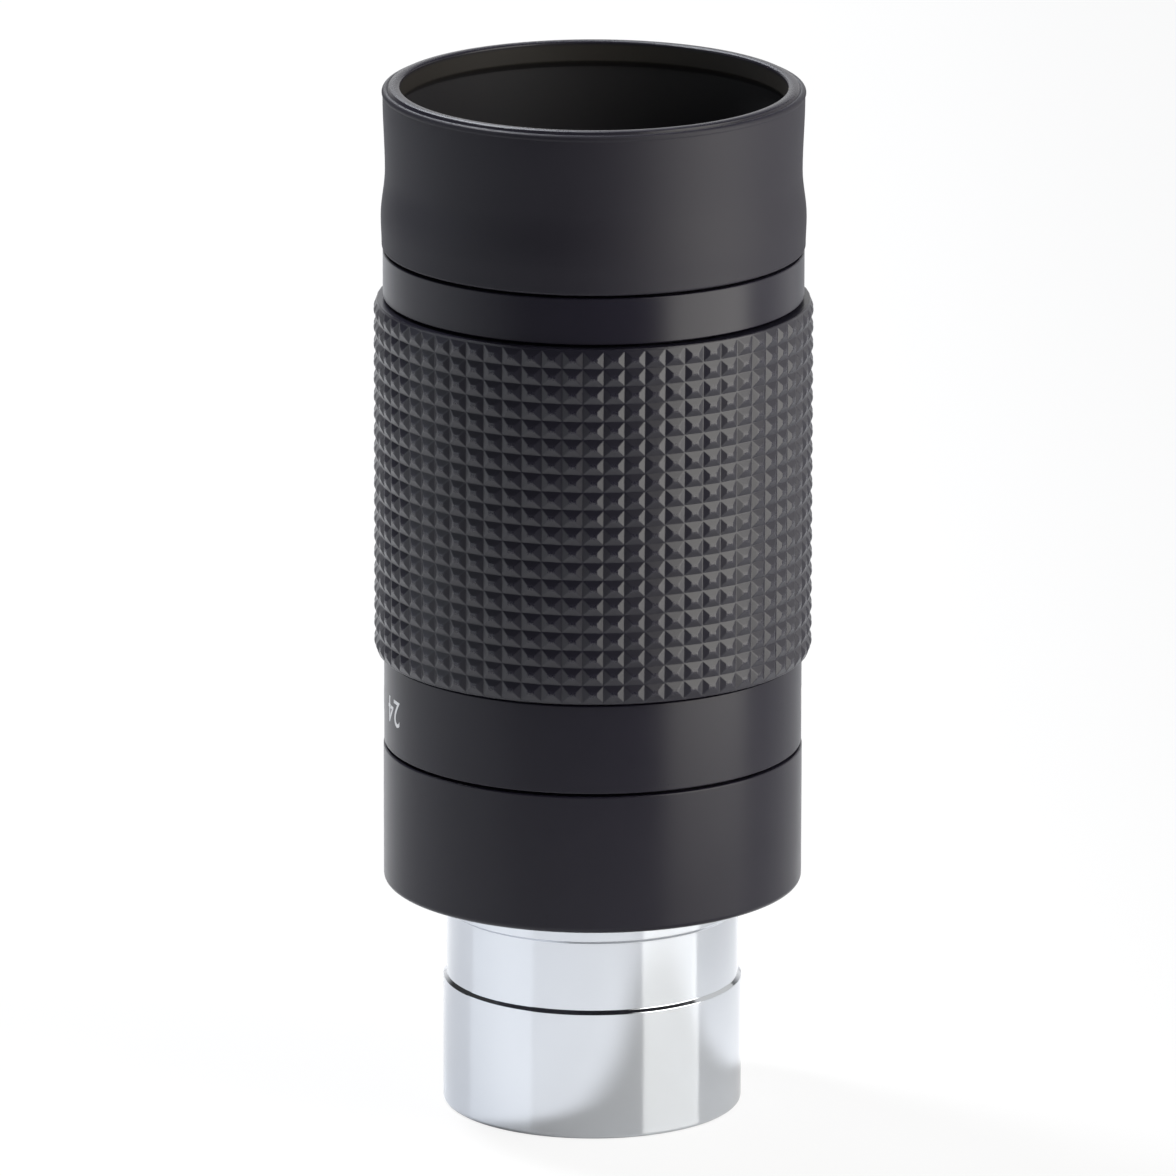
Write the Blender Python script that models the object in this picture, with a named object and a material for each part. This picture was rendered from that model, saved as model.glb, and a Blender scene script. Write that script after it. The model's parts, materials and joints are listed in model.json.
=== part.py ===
"""Zoom telescope eyepiece with a 31.75 mm push-fit barrel.

Metres, +Z up along the optical axis to the eye, origin at the centre of the barrel's lower rim.
The head turns on the lower housing. Its cam sleeve leads two lens carriages along a fixed guide tube.
"""

import math

import bmesh
import bpy

# Clearances
GAP = 0.0003
RUNNING_GAP = 0.0002
LENS_FIT = 0.00015
CEMENT_GAP = 0.0001
PIN_FIT = 0.00005

# Facets round a full turn
OUTER_SEGMENTS = 44
INNER_SEGMENTS = 26
LENS_SEGMENTS = 20
PIN_SEGMENTS = 10
FACE_STEPS = 3
ROUND_STEPS = 3
SLOT_STEPS = 14

# Nosepiece barrel
BARREL_DIAMETER = 0.03175
BARREL_LENGTH = 0.0245
BARREL_WALL = 0.0023
BARREL_EDGE = 0.0004
UNDERCUT_FOOT = 0.01375
UNDERCUT_DEPTH = 0.00035
BARREL_LAND = 0.0027
FILTER_THREAD_DEPTH = 0.0045
FILTER_THREAD_RELIEF = 0.0004
SHANK_STEP = 0.0011
BARREL_SEAT = 0.0006

# Lower housing and what it clamps
BODY_DIAMETER = 0.0444
HOUSING_HEIGHT = 0.01495
HOUSING_WALL = 0.0015
HOUSING_FLOOR = 0.004
HOUSING_EDGE = 0.0006
SEAM_EDGE = 0.0002
GUIDE_WALL = 0.0015
GUIDE_FLANGE = 0.0022
LOCK_RING_HEIGHT = 0.002
WASHER_HEIGHT = 0.0006
STOP_RING_HEIGHT = 0.002

# Turning head
BAND_HEIGHT = 0.0096
BAND_INSET = 0.00007
SHELL_WALL = 0.0017
CAM_WALL = 0.0015
CAM_END = 0.0025
GRIP_LENGTH = 0.0383
GRIP_SEAT_DEPTH = 0.0013
GRIP_THICKNESS = 0.0016
GRIP_EDGE = 0.0002
STUD_HEIGHT = 0.00042
STUD_ROWS = 20
STUD_COLUMNS = 66
RING_HEIGHT = 0.00495
RING_EDGE = 0.0002
NECK_LENGTH = 0.002
COLLAR_HEIGHT = 0.0048
COLLAR_WALL = 0.003
HEAD_CLEARANCE = 0.0008
CAM_SCREW_COUNT = 3
CAM_SCREW_RADIUS = 0.001
CAM_SCREW_SOCKET = 0.0005
CAM_SCREW_SOCKET_DEPTH = 0.0009

# Rubber eyecup
EYECUP_HEIGHT = 0.01735
CUP_FOOT_BULGE = 0.0002
CUP_FOOT_EDGE = 0.0004
CUP_FOOT_WALL = 0.0021
CUP_BULGE_HEIGHT = 0.0033
CUP_WAIST_HEIGHT = 0.0083
CUP_WAIST_INSET = 0.00025
CUP_WALL = 0.00105
CUP_LIP_BULGE = 0.0001
CUP_LIP_THICKNESS = 0.0019
CUP_LIP_HEIGHT = 0.00255
CUP_LIP_DROP = 0.00085
CUP_LIP_ROUND = 0.0003
CUP_LIP_FLAT = 0.001
CUP_BEAD = 0.0005
CUP_BEAD_HEIGHT = 0.0012
CUP_CURVE_STEPS = 3

# Lens cells
CELL_WALL = 0.0042
CELL_FLANGE = 0.001
LEDGE_HEIGHT = 0.0012
LEDGE_WIDTH = 0.0012
RETAINER_HEIGHT = 0.0016
RETAINER_SINK = 0.0002
NOTCH_WIDTH = 0.0015
NOTCH_DEPTH = 0.0007

# Glass: curvature radii, rim and centre thicknesses
EYE_LENS_CURVE = 0.04
EYE_LENS_EDGE = 0.0022
SPACER_HEIGHT = 0.0012
CROWN_CURVE = 0.036
CROWN_EDGE = 0.001
CEMENT_CURVE = 0.03
FLINT_CENTRE = 0.0012
FIELD_HOLLOW_CURVE = 0.045
FIELD_CEMENT_CURVE = 0.04
FIELD_CROWN_EDGE = 0.0022

# Lens carriages and the cam that moves them
TURN_DEGREES = 200.0
UPPER_TRAVEL = 0.006
LOWER_TRAVEL = -0.012
UPPER_WALL = 0.0026
FIELD_STOP_DIAMETER = 0.018
FIELD_STOP_HEIGHT = 0.0008
LOWER_WALL = 0.0026
LOWER_ABOVE_PIN = 0.0035
LOWER_BELOW_PIN = 0.007
NOSE_STEP = 0.0006
NOSE_WALL = 0.0014
NOSE_SHOULDER = 0.0016
NOSE_CLEARANCE = 0.0015
PIN_RADIUS = 0.0008
PIN_SKIN = 0.0006
BUSH_RADIUS = 0.0015
UPPER_PIN_DEGREES = 0.0
LOWER_PIN_DEGREES = 90.0

# Finishes: base colour, roughness, metallic
FINISHES = {
    "chrome": ((0.80, 0.82, 0.86), 0.08, 1.0),
    "black_satin": ((0.024, 0.023, 0.026), 0.42, 0.0),
    "black_rubber": ((0.028, 0.028, 0.030), 0.62, 0.0),
    "black_inside": ((0.012, 0.012, 0.013), 0.75, 0.0),
    "brass": ((0.72, 0.52, 0.22), 0.30, 1.0),
    "steel": ((0.60, 0.60, 0.62), 0.28, 1.0),
    "slip_plastic": ((0.72, 0.71, 0.67), 0.55, 0.0),
    "coated_glass": ((0.55, 0.62, 0.70), 0.03, 0.0),
}

WELD = 1e-7
SMOOTH_BELOW = math.radians(35)


def sag(curve, radius):
    """Depth of a spherical face from its vertex out to a radius."""
    return curve - math.sqrt(curve * curve - radius * radius)


def face_rise(curve, rim, radius):
    """Height of a lens face above its rim. A negative curve is a hollow face and zero is a flat one."""
    if curve == 0:
        return 0.0
    return math.copysign(sag(abs(curve), rim) - sag(abs(curve), radius), curve)


def eased(start, end, steps):
    """Points from start to end along a cosine ease, without the start itself."""
    points = []
    for step in range(1, steps + 1):
        share = step / steps
        blend = (1 - math.cos(math.pi * share)) / 2
        points.append((start[0] + (end[0] - start[0]) * blend, start[1] + (end[1] - start[1]) * share))
    return points


def rounded(centre, radius, start, end, steps):
    """Points of an arc in the radius and height plane, from one angle in degrees to another."""
    points = []
    for step in range(steps + 1):
        angle = math.radians(start + (end - start) * step / steps)
        points.append((centre[0] + radius * math.cos(angle), centre[1] + radius * math.sin(angle)))
    return points


# Radii, from the outside in
body_radius = BODY_DIAMETER / 2
barrel_radius = BARREL_DIAMETER / 2
barrel_bore = barrel_radius - BARREL_WALL
shank_radius = barrel_radius - SHANK_STEP
cavity_radius = body_radius - HOUSING_WALL
band_radius = body_radius - BAND_INSET
seat_radius = body_radius - GRIP_SEAT_DEPTH
shell_bore = seat_radius - SHELL_WALL
cam_outer = shell_bore - GAP
cam_inner = cam_outer - CAM_WALL
guide_outer = cam_inner - RUNNING_GAP
guide_inner = guide_outer - GUIDE_WALL
carriage_outer = guide_inner - RUNNING_GAP
upper_inner = carriage_outer - UPPER_WALL
lower_inner = carriage_outer - LOWER_WALL
nose_outer = min(barrel_bore - RUNNING_GAP, carriage_outer - NOSE_STEP)
nose_inner = nose_outer - NOSE_WALL
cup_foot_radius = body_radius + CUP_FOOT_BULGE
cup_foot_inner = cup_foot_radius - CUP_FOOT_WALL
cup_waist_radius = body_radius - CUP_WAIST_INSET
cup_wall_inner = cup_waist_radius - CUP_WALL
cup_lip_radius = body_radius + CUP_LIP_BULGE
collar_radius = cup_foot_inner - GAP
ring_bore = collar_radius - COLLAR_WALL
cell_outer = ring_bore - GAP
cell_inner = cell_outer - CELL_WALL
eye_rim = cell_inner - LENS_FIT
eye_hole = eye_rim - LEDGE_WIDTH
upper_rim = upper_inner - LENS_FIT
upper_hole = upper_rim - LEDGE_WIDTH
field_rim = nose_inner - LENS_FIT
field_hole = field_rim - LEDGE_WIDTH

# Heights of the outer pieces, from the barrel's rim up
floor_top = BARREL_LENGTH + HOUSING_FLOOR
housing_top = BARREL_LENGTH + HOUSING_HEIGHT
band_foot = housing_top + GAP
band_top = band_foot + BAND_HEIGHT
grip_foot = band_top + GAP
grip_top = grip_foot + GRIP_LENGTH
ring_foot = grip_top + GAP
ring_top = ring_foot + RING_HEIGHT
collar_top = ring_top + COLLAR_HEIGHT
cup_foot = ring_top + GAP

# Heights inside the housing
flange_foot = floor_top + GAP
lock_foot = flange_foot + GUIDE_FLANGE + GAP
washer_foot = lock_foot + LOCK_RING_HEIGHT + GAP
cam_foot = washer_foot + WASHER_HEIGHT + RUNNING_GAP

# The eye lens group hangs from the flange of its cell
cell_top = collar_top + GAP + CELL_FLANGE
eye_retainer_foot = cell_top - RETAINER_SINK - RETAINER_HEIGHT
eye_lens_foot = eye_retainer_foot - GAP - face_rise(EYE_LENS_CURVE, eye_rim, eye_hole) - EYE_LENS_EDGE
spacer_foot = eye_lens_foot - GAP - SPACER_HEIGHT
eye_crown_foot = spacer_foot - GAP - face_rise(CROWN_CURVE, eye_rim, eye_hole) - CROWN_EDGE
eye_flint_edge = FLINT_CENTRE + sag(CEMENT_CURVE, eye_rim)
eye_flint_foot = eye_crown_foot - CEMENT_GAP - eye_flint_edge
eye_ledge_top = eye_flint_foot - GAP
cell_foot = eye_ledge_top - LEDGE_HEIGHT

# The guide tube and the cam sleeve end below the eye lens cell
guide_top = min(cell_foot, ring_foot - NECK_LENGTH) - HEAD_CLEARANCE
stop_ring_foot = guide_top - STOP_RING_HEIGHT
cam_top = stop_ring_foot - RUNNING_GAP

# Cam: axial travel for each radian of turn, and the slots' half widths
turn = math.radians(TURN_DEGREES)
upper_lead = UPPER_TRAVEL / turn
lower_lead = LOWER_TRAVEL / turn
slot_half = BUSH_RADIUS + RUNNING_GAP
upper_slot_half = slot_half * math.hypot(1, upper_lead / cam_inner)
lower_slot_half = slot_half * math.hypot(1, lower_lead / cam_inner)
upper_reach = abs(UPPER_TRAVEL) / 2
lower_reach = abs(LOWER_TRAVEL) / 2
upper_pin_height = cam_top - CAM_END - upper_slot_half - upper_reach
lower_pin_height = cam_foot + CAM_END + lower_slot_half + lower_reach
slots_below = lower_pin_height + lower_reach + lower_slot_half
slots_above = upper_pin_height - upper_reach - upper_slot_half
cam_screw_height = (slots_below + slots_above) / 2
pin_outer = cam_outer - GAP

# The upper carriage's stack, from its foot up
stop_recess = RETAINER_SINK + FIELD_STOP_HEIGHT + GAP
upper_flint_rise = stop_recess + LEDGE_HEIGHT + GAP
upper_flint_edge = FLINT_CENTRE + sag(CEMENT_CURVE, upper_rim)
upper_crown_rise = upper_flint_rise + upper_flint_edge + CEMENT_GAP
upper_retainer_rise = upper_crown_rise + CROWN_EDGE + face_rise(CROWN_CURVE, upper_rim, upper_hole) + GAP
upper_height = upper_retainer_rise + RETAINER_HEIGHT + RETAINER_SINK
upper_foot = upper_pin_height - upper_height / 2

# The lower carriage's stack, from the foot of its nose up
nose_foot = FILTER_THREAD_DEPTH + NOSE_CLEARANCE + lower_reach
field_flint_rise = RETAINER_SINK + RETAINER_HEIGHT + GAP
field_flint_edge = FLINT_CENTRE + sag(FIELD_HOLLOW_CURVE, field_rim) + sag(FIELD_CEMENT_CURVE, field_rim)
field_crown_rise = field_flint_rise + field_flint_edge + CEMENT_GAP
field_ledge_rise = field_crown_rise + FIELD_CROWN_EDGE + GAP
nose_step_rise = lower_pin_height - LOWER_BELOW_PIN - nose_foot
lower_top_rise = lower_pin_height + LOWER_ABOVE_PIN - nose_foot


def clear_scene():
    for item in list(bpy.data.objects):
        bpy.data.objects.remove(item)


def finish_of(name):
    """The named finish as a material, made once."""
    if name in bpy.data.materials:
        return bpy.data.materials[name]
    colour, roughness, metallic = FINISHES[name]
    material = bpy.data.materials.new(name)
    material.use_nodes = True
    shader = material.node_tree.nodes["Principled BSDF"]
    shader.inputs["Base Color"].default_value = (*colour, 1.0)
    shader.inputs["Roughness"].default_value = roughness
    shader.inputs["Metallic"].default_value = metallic
    return material


def axis_empty(name, height):
    """An empty on the optical axis that carries the pieces of one rigid body."""
    empty = bpy.data.objects.new(name, None)
    empty.location = (0, 0, height)
    bpy.context.scene.collection.objects.link(empty)
    return empty


def object_from(name, mesh_data, finish, carrier, location, rotation=(0, 0, 0)):
    """Turns edited geometry into a named object on its carrier, at a place given in the eyepiece's frame."""
    mesh = bpy.data.meshes.new(name)
    bmesh.ops.recalc_face_normals(mesh_data, faces=mesh_data.faces[:])
    mesh_data.to_mesh(mesh)
    mesh_data.free()
    mesh.shade_smooth()
    mesh.set_sharp_from_angle(angle=SMOOTH_BELOW)
    piece = bpy.data.objects.new(name, mesh)
    bpy.context.scene.collection.objects.link(piece)
    piece.parent = carrier
    piece.location = (location[0], location[1], location[2] - carrier.location.z)
    piece.rotation_euler = rotation
    if finish:
        mesh.materials.append(finish_of(finish))
    return piece


def turned_geometry(outline, segments, closed=True):
    """An outline of (radius, height) points swept round Z. An open one starts and ends on the axis."""
    geometry = bmesh.new()
    points = [geometry.verts.new((radius, 0, height)) for radius, height in outline]
    ends = points[1:] + points[:1] if closed else points[1:]
    edges = [geometry.edges.new(pair) for pair in zip(points, ends)]
    bmesh.ops.spin(
        geometry,
        geom=points + edges,
        cent=(0, 0, 0),
        axis=(0, 0, 1),
        angle=math.tau,
        steps=segments,
        use_merge=True,
    )
    bmesh.ops.remove_doubles(geometry, verts=geometry.verts[:], dist=WELD)
    return geometry


def turned(name, outline, finish, carrier, height, segments=INNER_SEGMENTS, closed=True):
    """A turned piece standing on its own foot at a height on the optical axis."""
    return object_from(name, turned_geometry(outline, segments, closed), finish, carrier, (0, 0, height))


def tube_outline(inner, outer, height):
    return [(inner, 0), (outer, 0), (outer, height), (inner, height)]


def radial_place(degrees, radius, height):
    """Place and rotation of a piece that points out from the axis. Zero degrees is the front, -Y."""
    angle = math.radians(degrees)
    return (radius * math.sin(angle), -radius * math.cos(angle), height), (math.pi / 2, 0, angle)


def radial_piece(name, outline, finish, carrier, degrees, radius, height, closed=False):
    """A small turned piece whose axis points outwards, with its foot at a radius."""
    location, rotation = radial_place(degrees, radius, height)
    geometry = turned_geometry(outline, PIN_SEGMENTS, closed)
    return object_from(name, geometry, finish, carrier, location, rotation)


def dowel_outline(radius, length):
    return [(0, 0), (radius, 0), (radius, length), (0, length)]


def as_cutter(cutter):
    cutter.hide_render = True
    cutter.display_type = "WIRE"
    return cutter


def cut(piece, cutter):
    """Takes the cutter's shape out of a piece."""
    modifier = piece.modifiers.new(cutter.name, "BOOLEAN")
    modifier.operation = "DIFFERENCE"
    modifier.solver = "EXACT"
    modifier.object = as_cutter(cutter)


def drill(piece, name, carrier, degrees, inner, outer, height, radius):
    """A round hole from one radius out to another."""
    cutter = radial_piece(name, dowel_outline(radius, outer - inner), None, carrier, degrees, inner, height)
    cut(piece, cutter)


def block(name, carrier, size, location, rotation=(0, 0, 0)):
    """A box used as a cutter."""
    geometry = bmesh.new()
    bmesh.ops.create_cube(geometry, size=1.0)
    bmesh.ops.scale(geometry, vec=size, verts=geometry.verts[:])
    return object_from(name, geometry, None, carrier, location, rotation)


def spanner_notches(ring, carrier, outer, face_height, inwards):
    """Two opposite notches in the flat face of a threaded ring. inwards is 1 for up and -1 for down."""
    depth = NOTCH_DEPTH + GAP
    middle = face_height + inwards * (NOTCH_DEPTH - depth / 2)
    size = (2 * (outer + GAP), NOTCH_WIDTH, depth)
    cut(ring, block(ring.name + "_notch_cutter", carrier, size, (0, 0, middle)))


def lens(name, rim, edge, top, bottom, carrier, height):
    """A glass element: rim radius, edge thickness, and signed curvature radii of its two faces."""
    radii = [rim * step / FACE_STEPS for step in range(FACE_STEPS + 1)]
    upper = [(radius, edge + face_rise(top, rim, radius)) for radius in radii]
    lower = [(radius, -face_rise(bottom, rim, radius)) for radius in reversed(radii)]
    return turned(name, upper + lower, "coated_glass", carrier, height, LENS_SEGMENTS, closed=False)


def retainer(name, cell_radius, hole, carrier, height, notched_face):
    """A threaded ring that holds a lens in its cell. notched_face is 1 for the top and -1 for below."""
    outer = cell_radius - LENS_FIT
    ring = turned(name, tube_outline(hole, outer, RETAINER_HEIGHT), "black_inside", carrier, height)
    face = height + (RETAINER_HEIGHT if notched_face > 0 else 0)
    spanner_notches(ring, carrier, outer, face, -notched_face)
    return ring


def nosepiece(carrier):
    """Chrome barrel: filter thread recess, shallow undercut with sloped ends, and a shank that screws in."""
    undercut = barrel_radius - UNDERCUT_DEPTH
    undercut_top = BARREL_LENGTH - BARREL_LAND
    shoulder = BARREL_LENGTH + BARREL_SEAT - GAP
    thread = barrel_bore + FILTER_THREAD_RELIEF
    outline = [
        (thread + BARREL_EDGE, 0),
        (barrel_radius - BARREL_EDGE, 0),
        (barrel_radius, BARREL_EDGE),
        (barrel_radius, UNDERCUT_FOOT),
        (undercut, UNDERCUT_FOOT + UNDERCUT_DEPTH),
        (undercut, undercut_top - UNDERCUT_DEPTH),
        (barrel_radius, undercut_top),
        (barrel_radius, shoulder),
        (shank_radius, shoulder),
        (shank_radius, floor_top - GAP),
        (barrel_bore, floor_top - GAP),
        (barrel_bore, FILTER_THREAD_DEPTH),
        (thread, FILTER_THREAD_DEPTH),
        (thread, BARREL_EDGE),
    ]
    turned("nosepiece_barrel", outline, "chrome", carrier, 0, OUTER_SEGMENTS)


def lower_housing(carrier):
    """Black housing: a floor with the barrel's seat and screw hole, and a wall round the head's spigot."""
    hole = shank_radius + GAP
    seat = barrel_radius + GAP
    outline = [
        (seat, 0),
        *rounded((body_radius - HOUSING_EDGE, HOUSING_EDGE), HOUSING_EDGE, -90, 0, ROUND_STEPS),
        (body_radius, HOUSING_HEIGHT - SEAM_EDGE),
        (body_radius - SEAM_EDGE, HOUSING_HEIGHT),
        (cavity_radius, HOUSING_HEIGHT),
        (cavity_radius, HOUSING_FLOOR),
        (hole, HOUSING_FLOOR),
        (hole, BARREL_SEAT),
        (seat, BARREL_SEAT),
    ]
    turned("lower_housing", outline, "black_satin", carrier, BARREL_LENGTH, OUTER_SEGMENTS)


def guide_slots(tube, carrier, name, degrees, height, reach):
    """Two opposite straight slots along the guide tube."""
    size = (2 * slot_half, 2 * (guide_outer + GAP), 2 * (reach + slot_half))
    rotation = (0, 0, math.radians(degrees))
    cut(tube, block(name, carrier, size, (0, 0, height), rotation))


def guide(carrier):
    """Fixed guide tube on its flange, clamped by the lock ring, with the head's stop ring at its top."""
    flange_radius = cavity_radius - GAP
    outline = [
        (guide_inner, 0),
        (flange_radius, 0),
        (flange_radius, GUIDE_FLANGE),
        (guide_outer, GUIDE_FLANGE),
        (guide_outer, guide_top - flange_foot),
        (guide_inner, guide_top - flange_foot),
    ]
    tube = turned("guide_tube", outline, "black_inside", carrier, flange_foot)
    guide_slots(tube, carrier, "upper_guide_slots", UPPER_PIN_DEGREES, upper_pin_height, upper_reach)
    guide_slots(tube, carrier, "lower_guide_slots", LOWER_PIN_DEGREES, lower_pin_height, lower_reach)

    ring_inner = guide_outer + GAP
    lock_outline = tube_outline(ring_inner, flange_radius, LOCK_RING_HEIGHT)
    lock_ring = turned("guide_lock_ring", lock_outline, "black_inside", carrier, lock_foot)
    spanner_notches(lock_ring, carrier, flange_radius, lock_foot + LOCK_RING_HEIGHT, -1)

    washer_outline = tube_outline(ring_inner, flange_radius, WASHER_HEIGHT)
    turned("thrust_washer", washer_outline, "slip_plastic", carrier, washer_foot)

    stop_outline = tube_outline(ring_inner, cam_outer, STOP_RING_HEIGHT)
    stop_ring = turned("head_retaining_ring", stop_outline, "brass", carrier, stop_ring_foot)
    spanner_notches(stop_ring, carrier, cam_outer, guide_top, -1)


def zoom_barrel(carrier):
    """Black shell: spigot that turns in the housing, numbered band, and the thinner seat of the grip."""
    spigot_radius = cavity_radius - RUNNING_GAP
    outline = [
        (shell_bore, cam_foot),
        (spigot_radius, cam_foot),
        (spigot_radius, band_foot),
        (band_radius - SEAM_EDGE, band_foot),
        (band_radius, band_foot + SEAM_EDGE),
        (band_radius, band_top - SEAM_EDGE),
        (band_radius - SEAM_EDGE, band_top),
        (seat_radius, band_top),
        (seat_radius, grip_top),
        (shell_bore, grip_top),
    ]
    local = [(radius, height - cam_foot) for radius, height in outline]
    return turned("zoom_barrel", local, "black_satin", carrier, cam_foot, OUTER_SEGMENTS)


def helix_cutter(name, carrier, degrees, height, lead, half_height):
    """A helical ribbon through the cam sleeve's wall, for the whole turn and the bush at both ends."""
    inner = cam_inner - GAP
    outer = cam_outer + GAP
    half_turn = turn / 2 + slot_half / cam_inner
    geometry = bmesh.new()
    loops = []
    for step in range(SLOT_STEPS + 1):
        offset = half_turn * (2 * step / SLOT_STEPS - 1)
        angle = math.radians(degrees) + offset
        middle = -lead * offset
        corners = [(inner, -1), (outer, -1), (outer, 1), (inner, 1)]
        loops.append(
            [
                geometry.verts.new((r * math.sin(angle), -r * math.cos(angle), middle + side * half_height))
                for r, side in corners
            ]
        )
    for before, after in zip(loops, loops[1:]):
        for corner in range(4):
            follow = (corner + 1) % 4
            geometry.faces.new((before[corner], before[follow], after[follow], after[corner]))
    geometry.faces.new(loops[0])
    geometry.faces.new(loops[-1])
    return object_from(name, geometry, None, carrier, (0, 0, height))


def cam_sleeve(carrier, shell):
    """Sleeve with two helical slots for each carriage, joined to the shell by grub screws under the grip."""
    sleeve_outline = tube_outline(cam_inner, cam_outer, cam_top - cam_foot)
    sleeve = turned("cam_sleeve", sleeve_outline, "brass", carrier, cam_foot)
    slots = (
        ("upper_cam_slot_", UPPER_PIN_DEGREES, upper_pin_height, upper_lead, upper_slot_half),
        ("lower_cam_slot_", LOWER_PIN_DEGREES, lower_pin_height, lower_lead, lower_slot_half),
    )
    for name, degrees, height, lead, half_height in slots:
        for side, extra in (("a", 0), ("b", 180)):
            cut(sleeve, helix_cutter(name + side, carrier, degrees + extra, height, lead, half_height))

    screw_foot = cam_inner + GAP
    screw_length = seat_radius - GAP - screw_foot
    socket_foot = screw_length - CAM_SCREW_SOCKET_DEPTH
    outline = [
        (0, 0),
        (CAM_SCREW_RADIUS, 0),
        (CAM_SCREW_RADIUS, screw_length),
        (CAM_SCREW_SOCKET, screw_length),
        (CAM_SCREW_SOCKET, socket_foot),
        (0, socket_foot),
    ]
    hole_inner = cam_inner - GAP
    hole_outer = seat_radius + GAP
    hole_radius = CAM_SCREW_RADIUS + PIN_FIT
    for number in range(1, CAM_SCREW_COUNT + 1):
        degrees = 360 * (number - 0.5) / CAM_SCREW_COUNT
        name = "cam_screw_" + str(number)
        radial_piece(name, outline, "steel", carrier, degrees, screw_foot, cam_screw_height)
        for piece in (sleeve, shell):
            cutter_name = name + "_hole_in_" + piece.name
            drill(piece, cutter_name, carrier, degrees, hole_inner, hole_outer, cam_screw_height, hole_radius)


def grip_sleeve(carrier):
    """Rubber sleeve with a square grid of raised four-sided studs."""
    inner = seat_radius + GAP
    base = inner + GRIP_THICKNESS
    tip = base + STUD_HEIGHT
    pitch = (GRIP_LENGTH - 2 * GRIP_EDGE) / STUD_ROWS
    geometry = bmesh.new()

    def ring(radius, height, shift=-0.5):
        points = []
        for column in range(STUD_COLUMNS):
            angle = math.tau * (column + shift) / STUD_COLUMNS
            points.append(geometry.verts.new((radius * math.sin(angle), -radius * math.cos(angle), height)))
        return points

    def join(below, above):
        for column in range(STUD_COLUMNS):
            follow = (column + 1) % STUD_COLUMNS
            geometry.faces.new((below[column], below[follow], above[follow], above[column]))

    corners = [ring(base, GRIP_EDGE + row * pitch) for row in range(STUD_ROWS + 1)]
    for row in range(STUD_ROWS):
        tips = ring(tip, GRIP_EDGE + (row + 0.5) * pitch, 0.0)
        for column, point in enumerate(tips):
            follow = (column + 1) % STUD_COLUMNS
            below, above = corners[row], corners[row + 1]
            square = (below[column], below[follow], above[follow], above[column])
            for first, second in zip(square, square[1:] + square[:1]):
                geometry.faces.new((first, second, point))
    foot_edge = ring(base - GRIP_EDGE, 0)
    top_edge = ring(base - GRIP_EDGE, GRIP_LENGTH)
    foot_bore = ring(inner, 0)
    top_bore = ring(inner, GRIP_LENGTH)
    join(foot_edge, corners[0])
    join(corners[-1], top_edge)
    join(top_edge, top_bore)
    join(top_bore, foot_bore)
    join(foot_bore, foot_edge)
    object_from("grip_sleeve", geometry, "black_rubber", carrier, (0, 0, grip_foot))


def top_ring(carrier):
    """Black ring above the grip: threaded neck below, grooved collar for the eyecup above."""
    groove_foot = cup_foot + CUP_BEAD_HEIGHT - GAP
    groove_top = cup_foot + 2 * CUP_BEAD_HEIGHT + GAP
    neck_foot = ring_foot - NECK_LENGTH
    outline = [
        (ring_bore, neck_foot),
        (shell_bore - GAP, neck_foot),
        (shell_bore - GAP, ring_foot),
        (body_radius - RING_EDGE, ring_foot),
        (body_radius, ring_foot + RING_EDGE),
        (body_radius, ring_top - RING_EDGE),
        (body_radius - RING_EDGE, ring_top),
        (collar_radius, ring_top),
        (collar_radius, groove_foot),
        (collar_radius - CUP_BEAD, groove_foot),
        (collar_radius - CUP_BEAD, groove_top),
        (collar_radius, groove_top),
        (collar_radius, collar_top),
        (ring_bore, collar_top),
    ]
    local = [(radius, height - neck_foot) for radius, height in outline]
    turned("top_ring", local, "black_satin", carrier, neck_foot, OUTER_SEGMENTS)


def eyecup(carrier):
    """Rubber cup: bulged foot over the collar, slight waist, and a thick lip with a flat top."""
    lip_inner = cup_lip_radius - CUP_LIP_THICKNESS
    brow = (cup_lip_radius - CUP_LIP_ROUND, EYECUP_HEIGHT - CUP_LIP_DROP)
    crown = (lip_inner + CUP_LIP_ROUND, EYECUP_HEIGHT - CUP_LIP_ROUND)
    lip_foot = EYECUP_HEIGHT - CUP_LIP_HEIGHT
    bulge = (cup_foot_radius, CUP_BULGE_HEIGHT)
    waist = (cup_waist_radius, CUP_WAIST_HEIGHT)
    inside_foot = collar_top + GAP - cup_foot
    bead_foot = CUP_BEAD_HEIGHT
    bead_top = 2 * CUP_BEAD_HEIGHT
    outline = [
        (cup_foot_inner, 0),
        (body_radius - CUP_FOOT_EDGE, 0),
        (body_radius, CUP_FOOT_EDGE),
        bulge,
        *eased(bulge, waist, CUP_CURVE_STEPS),
        *eased(waist, (body_radius, lip_foot), CUP_CURVE_STEPS),
        *rounded(brow, CUP_LIP_ROUND, 0, 60, ROUND_STEPS),
        (lip_inner + CUP_LIP_FLAT, EYECUP_HEIGHT),
        *rounded(crown, CUP_LIP_ROUND, 90, 180, ROUND_STEPS),
        (lip_inner, lip_foot),
        (cup_wall_inner, lip_foot - (cup_wall_inner - lip_inner)),
        (cup_wall_inner, inside_foot),
        (cup_foot_inner, inside_foot),
        (cup_foot_inner, bead_top),
        (cup_foot_inner - CUP_BEAD, bead_top),
        (cup_foot_inner - CUP_BEAD, bead_foot),
        (cup_foot_inner, bead_foot),
    ]
    turned("eyecup", outline, "black_rubber", carrier, cup_foot, OUTER_SEGMENTS)


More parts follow.
